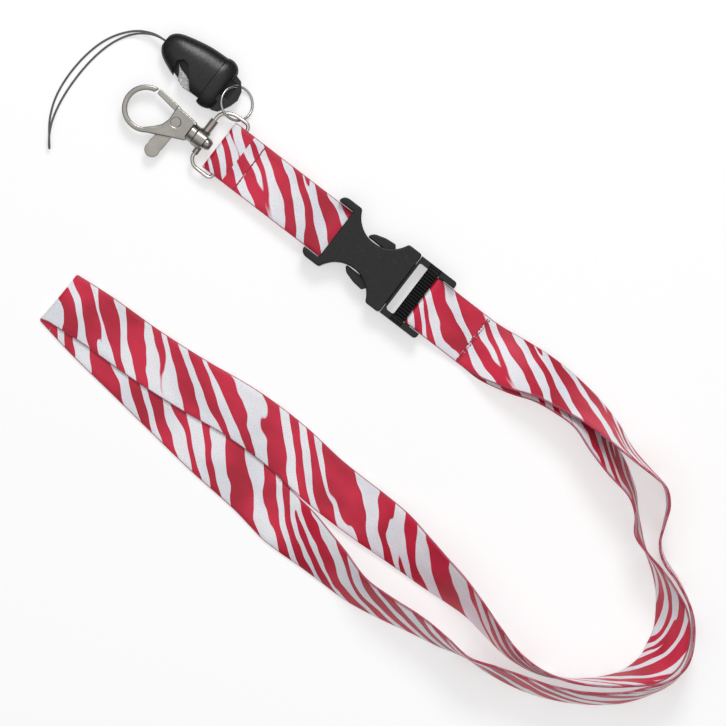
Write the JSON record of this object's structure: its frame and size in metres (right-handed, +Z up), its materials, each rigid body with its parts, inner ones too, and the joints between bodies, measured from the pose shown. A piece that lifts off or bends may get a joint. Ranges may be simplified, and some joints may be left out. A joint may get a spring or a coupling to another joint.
{
  "type": "lanyard",
  "caption": "Neck lanyard of printed webbing with a side-release buckle, swivel claw hook, thin ring and quick-release phone cord.",
  "frame": {"origin": "middle of the female buckle half's underside, on the surface that the lanyard lies on", "axes": "+X along the strap from the hook towards the neck loop, +Z up off the surface, +Y across the strap"},
  "size_m": [0.3066, 0.1303, 0.0201],
  "materials": {
    "webbing": "satin printed polyester webbing, crimson and white zebra stripes",
    "thread": "pale polyester sewing thread",
    "buckle_plastic": "black moulded acetal, fine matt grain",
    "nickel": "satin nickel plate",
    "connector_plastic": "black moulded plastic, half matt",
    "tongue_plastic": "grey moulded plastic",
    "crimp": "plain crimp",
    "cord": "dark grey braided nylon cord"
  },
  "bodies": {
    "neck_loop": {"neck_strap_outer_front": "webbing", "neck_strap_outer_bend": "webbing", "neck_strap_outer_back": "webbing", "neck_strap_inner_front": "webbing", "neck_strap_inner_bend": "webbing", "neck_strap_inner_back": "webbing", "neck_strap_end_fold": "webbing", "neck_strap_buckle_fold": "webbing", "neck_seam_stitching": "thread", "buckle_frame": "buckle_plastic"},
    "latch_left": {"latch_arm_left": "buckle_plastic"},
    "latch_right": {"latch_arm_right": "buckle_plastic"},
    "socket_and_tail": {"buckle_socket": "buckle_plastic", "tail_strap": "webbing", "tail_seam_stitching": "thread"},
    "swivel_loop": {"strap_loop_wire": "nickel", "swivel_barrel": "nickel"},
    "claw_hook": {"hook_body": "nickel", "swivel_stem": "nickel", "lever_rivet": "nickel"},
    "gate_lever": {"hook_lever": "nickel", "lever_spring": "nickel"},
    "key_ring": {"thin_ring": "nickel"},
    "connector_fixed_end": {"connector_cap": "connector_plastic", "release_tongue": "tongue_plastic"},
    "connector_pull_end": {"connector_body": "connector_plastic", "cord_anchor": "crimp", "phone_cord": "cord"}
  },
  "joints": [
    {"name": "buckle_release", "type": "slide", "parent": "neck_loop", "child": "socket_and_tail", "axis": [-1, 0, 0], "range_m": [0, 0.03], "deforming": ["latch_arm_left", "latch_arm_right"]},
    {"name": "left_latch_squeeze", "type": "hinge", "parent": "neck_loop", "child": "latch_left", "pos_m": [0.0143, 0.0075, 0.0044], "axis": [0, 0, 1], "range_deg": [0, 9], "stiffness_Nm_per_rad": 0.05},
    {"name": "right_latch_squeeze", "type": "hinge", "parent": "neck_loop", "child": "latch_right", "pos_m": [0.0143, -0.0075, 0.0044], "axis": [0, 0, -1], "range_deg": [0, 9], "stiffness_Nm_per_rad": 0.05},
    {"name": "wire_loop_swing", "type": "hinge", "parent": "socket_and_tail", "child": "swivel_loop", "pos_m": [-0.0594, 0, 0.0044], "axis": [0, 1, 0], "range_deg": [-75, 75]},
    {"name": "hook_swivel", "type": "hinge", "parent": "swivel_loop", "child": "claw_hook", "pos_m": [-0.0709, -0.0024, 0.0044], "axis": [1, 0, 0], "range_deg": [-150, 150]},
    {"name": "gate_press", "type": "hinge", "parent": "claw_hook", "child": "gate_lever", "pos_m": [-0.0814, -0.0031, 0.0044], "axis": [0, 0, 1], "range_deg": [0, 20], "stiffness_Nm_per_rad": 0.02},
    {"name": "ring_swing", "type": "hinge", "parent": "swivel_loop", "child": "key_ring", "pos_m": [-0.0703, 0.0098, 0.0044], "axis": [0.5101, 0.8601, 0], "range_deg": [0, 10]},
    {"name": "connector_tilt", "type": "hinge", "parent": "key_ring", "child": "connector_fixed_end", "pos_m": [-0.0745, 0.0157, 0.005], "axis": [0, 1, 0], "range_deg": [-4, 4]},
    {"name": "connector_release", "type": "slide", "parent": "connector_fixed_end", "child": "connector_pull_end", "axis": [-1, 0, 0], "range_m": [0, 0.016], "deforming": ["release_tongue"]}
  ],
  "couplings": [
    {"joint": "right_latch_squeeze", "follows": "left_latch_squeeze", "ratio": 1}
  ]
}
